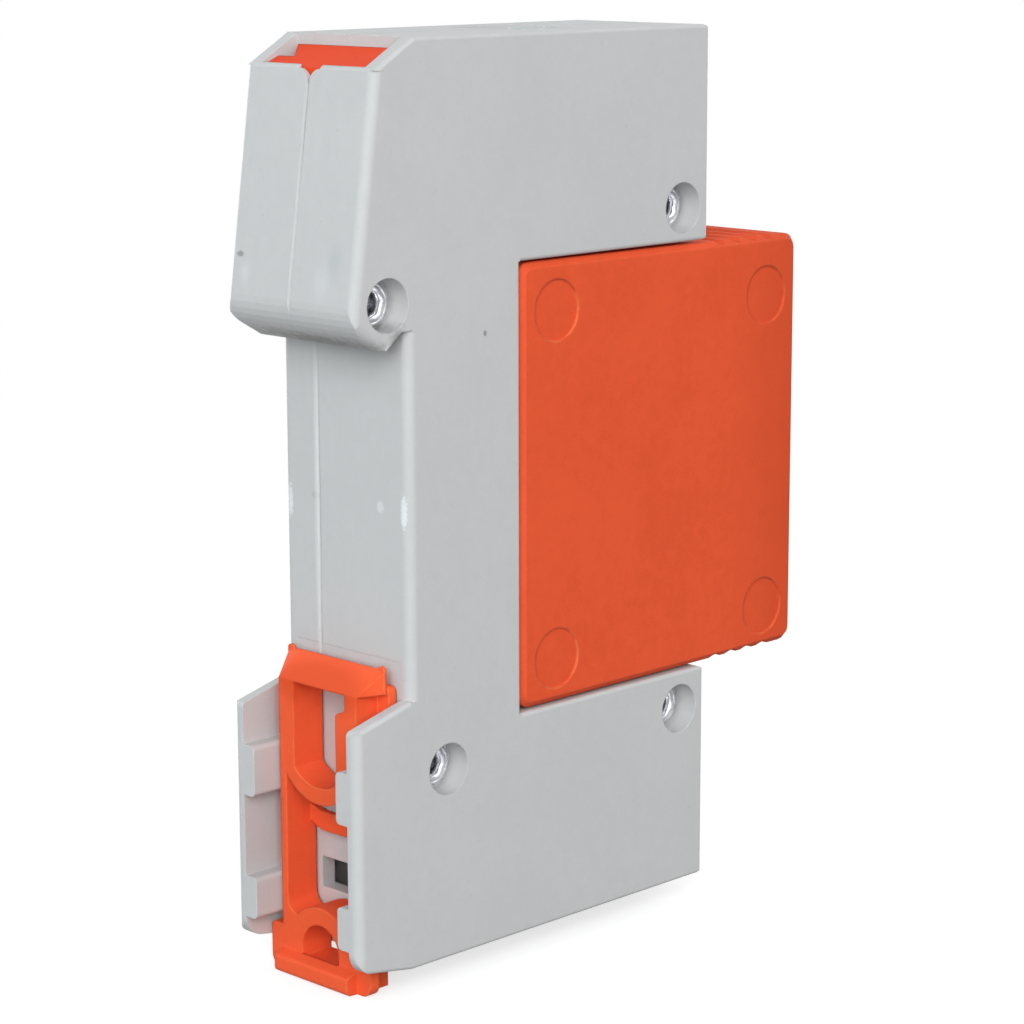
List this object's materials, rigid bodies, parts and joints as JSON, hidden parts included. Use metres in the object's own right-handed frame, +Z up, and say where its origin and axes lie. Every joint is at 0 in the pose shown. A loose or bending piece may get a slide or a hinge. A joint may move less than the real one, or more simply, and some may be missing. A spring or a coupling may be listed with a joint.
{
  "type": "din rail surge arrester",
  "caption": "Pluggable surge arrester for a top-hat rail: grey riveted base with sprung latch, screw terminals and a pull-out orange protection module with a status flag.",
  "frame": {"origin": "on the rail seat face, mid-width, on the centre line of the rail", "axes": "+Y points back into the rail, +X runs along the rail, +Z is up"},
  "size_m": [0.018, 0.0641, 0.0924],
  "materials": {
    "base_plastic": "fine-grained light grey moulding",
    "module_plastic": "fine-grained orange moulding",
    "latch_plastic": "smooth orange moulding",
    "rivet_metal": "dull zinc",
    "plated_steel": "bright zinc plate",
    "contact_copper": "bare copper",
    "tinned_metal": "tin plate",
    "varistor_coat": "dipped epoxy coat",
    "flag_plastic": "green moulding",
    "fault_plastic": "red moulding",
    "clear_plastic": "polished clear moulding"
  },
  "bodies": {
    "base": {"near_shell": "base_plastic", "far_shell": "base_plastic", "shell_rivets": "rivet_metal", "top_insert": "latch_plastic", "upper_contact_bar": "contact_copper", "lower_contact_bar": "contact_copper", "upper_contact_clip": "tinned_metal", "lower_contact_clip": "tinned_metal"},
    "latch": {"rail_latch": "latch_plastic"},
    "plug_module": {"module_near_half": "module_plastic", "module_far_half": "module_plastic", "varistor": "varistor_coat", "upper_blade": "tinned_metal", "lower_blade": "tinned_metal", "electrode_pad": "tinned_metal", "thermal_link": "contact_copper", "trip_spring": "plated_steel", "status_window": "clear_plastic", "fault_plate": "fault_plastic"},
    "disconnector": {"trip_slider": "flag_plastic"},
    "upper_screw": {"upper_clamp_screw": "plated_steel"},
    "upper_cage": {"upper_clamp_cage": "plated_steel"},
    "lower_screw": {"lower_clamp_screw": "plated_steel"},
    "lower_cage": {"lower_clamp_cage": "plated_steel"}
  },
  "joints": [
    {"name": "latch_slide", "type": "slide", "parent": "base", "child": "latch", "axis": [0, 0, -1], "range_m": [0, 0.004], "stiffness_N_per_m": 1500, "springref_m": -0.001},
    {"name": "module_pull", "type": "slide", "parent": "base", "child": "plug_module", "axis": [0, -1, 0], "range_m": [0, 0.042]},
    {"name": "flag_drop", "type": "slide", "parent": "plug_module", "child": "disconnector", "axis": [0, 0, -1], "range_m": [0, 0.0065], "deforming": ["trip_spring"]},
    {"name": "upper_screw_turn", "type": "hinge", "parent": "base", "child": "upper_screw", "pos_m": [0, -0.0345, 0.0344], "axis": [0, 1, 0], "range_deg": [0, 2701]},
    {"name": "upper_cage_lift", "type": "slide", "parent": "base", "child": "upper_cage", "axis": [0, -1, 0], "range_m": [0, 0.006]},
    {"name": "lower_screw_turn", "type": "hinge", "parent": "base", "child": "lower_screw", "pos_m": [0, -0.0345, -0.0344], "axis": [0, 1, 0], "range_deg": [0, 2701]},
    {"name": "lower_cage_lift", "type": "slide", "parent": "base", "child": "lower_cage", "axis": [0, -1, 0], "range_m": [0, 0.006]}
  ],
  "couplings": [
    {"joint": "upper_screw_turn", "follows": "upper_cage_lift", "rad_per_m": 7854},
    {"joint": "lower_screw_turn", "follows": "lower_cage_lift", "rad_per_m": 7854}
  ]
}
